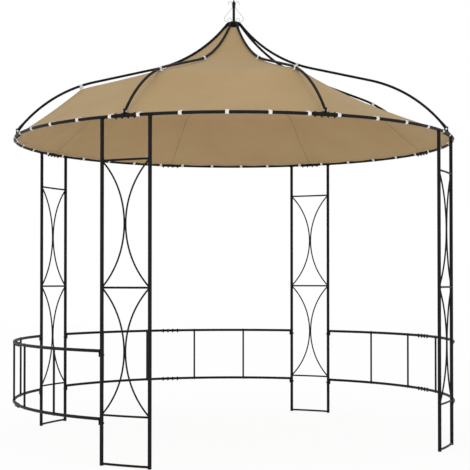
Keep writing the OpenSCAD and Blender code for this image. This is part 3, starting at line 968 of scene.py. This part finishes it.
# straps on the ribs: a close one leaves the cloth wide of the tube, a hanging one near its middle
ribStrap = {
    "width": 0.020,
    "thickness": 0.0013,
    "patch": 0.020,
    "closeReach": 0.016,
    "closeLeave": 0.0095,
    "hangLeave": 0.0035,
    "arcs": {-1: (205, -10), 1: (-25, 165)},
    "climbRun": 12,
    "steps": 24,
}
build = bmesh.new()
half = ribStrap["thickness"] / 2
inner = roof["ribTube"] / 2 + gap + half
for k in range(roof["ribCount"]):
    for r in (highRadius, lowRadius):
        if k == canopy["looseRib"] and r == lowRadius:
            continue
        azimuth, slope = ribStep * (k - 1), ribSlope(r)
        origin = along(azimuth, r, ribHeight(r))
        xAxis = along(azimuth + 90, 1, 0)
        yAxis = along(azimuth, math.sin(slope), math.cos(slope))
        hang = (ribHeight(r) - ridgeHeight(k, r)) * math.cos(slope)
        leave = ribStrap["closeLeave"] if hang < ribStrap["closeReach"] else ribStrap["hangLeave"]
        for side, (start, end) in ribStrap["arcs"].items():
            spots = []
            for offset in (ribStrap["patch"], mix(ribStrap["patch"], leave, 0.5), leave):
                step = k * canopy["goreSteps"] + stepsWide(side * offset, r)
                spot = overCloth(step, r, band["lift"] + half) - origin
                spots.append((spot.dot(xAxis), spot.dot(yAxis)))
            over = ribStrap["thickness"] * strapLayer if side > 0 else 0
            spots += arcPoints(start, end, ribStrap["steps"], inner, over, start, ribStrap["climbRun"])
            addArm(build, spots, origin, xAxis, yAxis, ribStrap["width"], ribStrap["thickness"])
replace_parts(addPiece("ribStraps", build, webbing), "rib_ties")
print("straps tied")

# bolts: domed heads, hexagon nuts on washers with the thread's end standing out
bolt = {
    "dome": [
        (0.0060, 0), (0.0060, 0.0009), (0.0054, 0.0026),
        (0.0039, 0.0038), (0.0020, 0.0043), (0.0006, 0.0044),
    ],
    "washer": [(0.0064, 0), (0.0066, 0.0003), (0.0066, 0.0010), (0.0064, 0.0012)],
    "nut": [(0.0050, 0.0012), (0.0056, 0.0017), (0.0056, 0.0053), (0.0050, 0.0058)],
    "thread": [(0.0030, 0.0058), (0.0030, 0.0072), (0.0024, 0.0078)],
    "screw": [(0.0044, 0), (0.0044, 0.0007), (0.0036, 0.0018), (0.0016, 0.0024), (0.0005, 0.0025)],
    "sides": {"dome": 16, "washer": 20, "nut": 6, "thread": 12, "screw": 12},
    "spacing": (-0.060, -0.020, 0.020, 0.060),
    "jointBite": 0.0004,  # how deep each sits in the round of its tube
    "tabBite": 0.0008,
    "screwBite": 0.0003,
}


def addFastener(build, place, *parts):
    for part in parts:
        addTurned(build, place, bolt[part], bolt["sides"][part])


# legs and railings, as far as bolts and welds sit on them
legs = {
    "azimuths": (-45, 45, 135, -135),
    "width": 0.310,
    "tube": 0.022,
    "bars": 3,
    "lowBar": 0.286,
    "topGap": 0.248,
    "barTube": 0.012,
    "baseTube": 0.014,
    "baseHeight": 0.011,
}
rail = {
    "azimuths": (-90, 180, 90),
    "heights": (0.262, 0.647),
    "tube": 0.019,
    "baluster": 0.0135,
    "bays": 5,
    "tab": 0.004,
    "tabBolt": 0.022,
}
legHalf = math.degrees(math.asin(legs["width"] / 2 / roof["ringRadius"]))
up, down = Vector((0, 0, 1)), Vector((0, 0, -1))
build = bmesh.new()
joints = [(ribStep * k, roof["ringHeight"], roof["sleeveTube"] / 2) for k in range(roof["ribCount"])]
for azimuth in rail["azimuths"]:
    joints += [(azimuth, height, rail["tube"] / 2) for height in rail["heights"]]
for azimuth, height, reach in joints:
    for offset in bolt["spacing"]:
        spot = along(azimuth + math.degrees(offset / roof["ringRadius"]), roof["ringRadius"], height)
        seat = reach - bolt["jointBite"]
        addFastener(build, placeAt(spot + up * seat, up), "dome")
        addFastener(build, placeAt(spot + down * seat, down), "washer", "nut", "thread")
for legAzimuth in legs["azimuths"]:
    for side in (-1, 1):
        azimuth = legAzimuth + side * legHalf
        if abs(azimuth) < ribStep:
            continue  # no railing on the entrance side
        outward = along(azimuth + 90 * side, 1, 0)
        tabFace = outward * (legs["tube"] / 2 + gap + rail["tab"])
        nutSeat = outward * (legs["tube"] / 2 - bolt["tabBite"])
        for height in rail["heights"]:
            spot = along(azimuth, roof["ringRadius"], height - rail["tabBolt"])
            addFastener(build, placeAt(spot + tabFace, outward), "dome")
            addFastener(build, placeAt(spot - nutSeat, -outward), "washer", "nut", "thread")
bay = 2 * (ribStep - legHalf) / rail["bays"]
balusterAzimuths = []
for azimuth in rail["azimuths"]:
    balusterAzimuths += [azimuth + bay * (k + 1 - rail["bays"] / 2) for k in range(rail["bays"] - 1)]
for azimuth in balusterAzimuths:
    low, high = (along(azimuth, roof["ringRadius"], height) for height in rail["heights"])
    seat = rail["tube"] / 2 - bolt["screwBite"]
    addFastener(build, placeAt(low + down * seat, down), "screw")
    addFastener(build, placeAt(high + up * seat, up), "screw")
addPiece("jointBolts", build, blackOxide)

lug = {"thickness": 0.003, "boltOut": 0.003, "boltRise": 0.022}
build = bmesh.new()
reach = tongue["thickness"] / 2 + gap + lug["thickness"]
for k in range(roof["ribCount"]):
    spot = along(ribStep * k, roof["ringRadius"] + lug["boltOut"], roof["ringHeight"] + lug["boltRise"])
    tangent = along(ribStep * k + 90, 1, 0)
    addFastener(build, placeAt(spot + tangent * reach, tangent), "washer", "nut", "thread")
    addFastener(build, placeAt(spot - tangent * reach, -tangent), "washer", "nut")
addPiece("lugBolts", build, zincPlate)
print("bolts set")

# weld beads where bars meet tubes: low uneven rings of metal under the coat
weld = {
    "bead": 0.0016,
    "bite": 0.0006,
    "wobble": 0.18,
    "ripples": 5,
    "phases": (0, 6),
    "around": 20,
    "within": 6,
}


def addBead(build, centre, axis, radius):
    place = placeAt(centre, axis)
    phase = chance.uniform(*weld["phases"])
    grid = []
    for i in range(weld["around"]):
        a = 2 * math.pi * i / weld["around"]
        size = weld["bead"] * (1 + weld["wobble"] * math.sin(weld["ripples"] * a + phase))
        ring = []
        for k in range(weld["within"]):
            b = 2 * math.pi * k / weld["within"]
            r = radius + size * math.cos(b)
            point = Vector((r * math.cos(a), r * math.sin(a), size * math.sin(b)))
            ring.append(build.verts.new(place @ point))
        grid.append(ring)
    for i in range(weld["around"]):
        n = (i + 1) % weld["around"]
        for k in range(weld["within"]):
            m = (k + 1) % weld["within"]
            build.faces.new((grid[i][k], grid[n][k], grid[n][m], grid[i][m]))


build = bmesh.new()
cell = (roof["ringHeight"] - legs["topGap"] - legs["lowBar"]) / (legs["bars"] - 1)
bars = [(legs["baseHeight"], legs["baseTube"])]
bars += [(legs["lowBar"] + cell * k, legs["barTube"]) for k in range(legs["bars"])]
for legAzimuth in legs["azimuths"]:
    for side in (-1, 1):
        azimuth = legAzimuth + side * legHalf
        inward = along(azimuth - 90 * side, 1, 0)
        for height, tube in bars:
            spot = along(azimuth, roof["ringRadius"], height)
            addBead(build, spot + inward * (legs["tube"] / 2 - weld["bite"]), inward, tube / 2)
for azimuth in balusterAzimuths:
    low, high = (along(azimuth, roof["ringRadius"], height) for height in rail["heights"])
    addBead(build, low + up * (rail["tube"] / 2 - weld["bite"]), up, rail["baluster"] / 2)
    addBead(build, high + down * (rail["tube"] / 2 - weld["bite"]), down, rail["baluster"] / 2)
x, y, heading = ribPoints[-1]
h = math.radians(heading)
for k in range(roof["ribCount"]):
    axis = along(ribStep * k, math.cos(h), math.sin(h))
    addBead(build, along(ribStep * k, x, y), axis, roof["ribTube"] / 2 - weld["bite"])
addPiece("weldBeads", build, powderCoat)
print("welds laid")

# floor and light
stage = {
    "floorSize": 40,
    "floorWhite": "#fbfbfb",
    "whiteShare": 0.9,  # of the floor as seen; the rest keeps the shadow
    "skyStrength": 0.95,
    "aimHeight": 1.6,
    "lamps": {
        "keyLight": {"azimuth": -35, "radius": 6.0, "height": 5.0, "power": 14, "size": 4.0},
        "fillLight": {"azimuth": -22, "radius": 6.5, "height": 0.9, "power": 75, "size": 4.0},
    },
}


def raysThatShow(tree):
    # 1 for rays that come from the camera, off a glossy face or through glass
    ray = addNode(tree, "ShaderNodeLightPath")
    seen = addNode(
        tree, "ShaderNodeMath",
        {"operation": "MAXIMUM"},
        {0: ray.outputs["Is Camera Ray"], 1: ray.outputs["Is Glossy Ray"]},
    )
    seenAll = addNode(
        tree, "ShaderNodeMath",
        {"operation": "MAXIMUM"},
        {0: seen.outputs["Value"], 1: ray.outputs["Is Transmission Ray"]},
    )
    return seenAll.outputs["Value"]


bpy.ops.mesh.primitive_plane_add(size=stage["floorSize"], location=(0, 0, 0))
floor = bpy.context.object
floor.name = "floor"
paleFloor, tree = newMaterial("paleStudioFloor")
matt = addNode(tree, "ShaderNodeBsdfDiffuse", {"Color": hexToLinear(stage["floorWhite"])})
white = addNode(tree, "ShaderNodeEmission", {"Color": (1, 1, 1, 1), "Strength": 1.0})
faint = addNode(
    tree, "ShaderNodeMath",
    {"operation": "MULTIPLY", 1: stage["whiteShare"]},
    {0: raysThatShow(tree)},
)
mixed = addNode(
    tree, "ShaderNodeMixShader",
    links={"Fac": faint.outputs["Value"], 1: matt.outputs["BSDF"], 2: white.outputs["Emission"]},
)
addNode(tree, "ShaderNodeOutputMaterial", links={"Surface": mixed.outputs["Shader"]})
floor.data.materials.append(paleFloor)

world = bpy.data.worlds.new("studio")
scene.world = world
world.use_nodes = True
tree = world.node_tree
tree.nodes.clear()
level = addNode(
    tree, "ShaderNodeMapRange",
    {"To Min": stage["skyStrength"], "To Max": 1.0},
    {"Value": raysThatShow(tree)},
)
sky = addNode(tree, "ShaderNodeBackground", {"Color": (1, 1, 1, 1)}, {"Strength": level.outputs["Result"]})
addNode(tree, "ShaderNodeOutputWorld", links={"Surface": sky.outputs["Background"]})

aim = Vector((0, 0, stage["aimHeight"]))
for name, spec in stage["lamps"].items():
    lamp = bpy.data.lights.new(name, "AREA")
    lamp.energy = spec["power"]
    lamp.size = spec["size"]
    holder = bpy.data.objects.new(name, lamp)
    holder.location = along(spec["azimuth"], spec["radius"], spec["height"])
    holder.rotation_euler = (aim - holder.location).to_track_quat("-Z", "Y").to_euler()
    scene.collection.objects.link(holder)
print("stage lit")
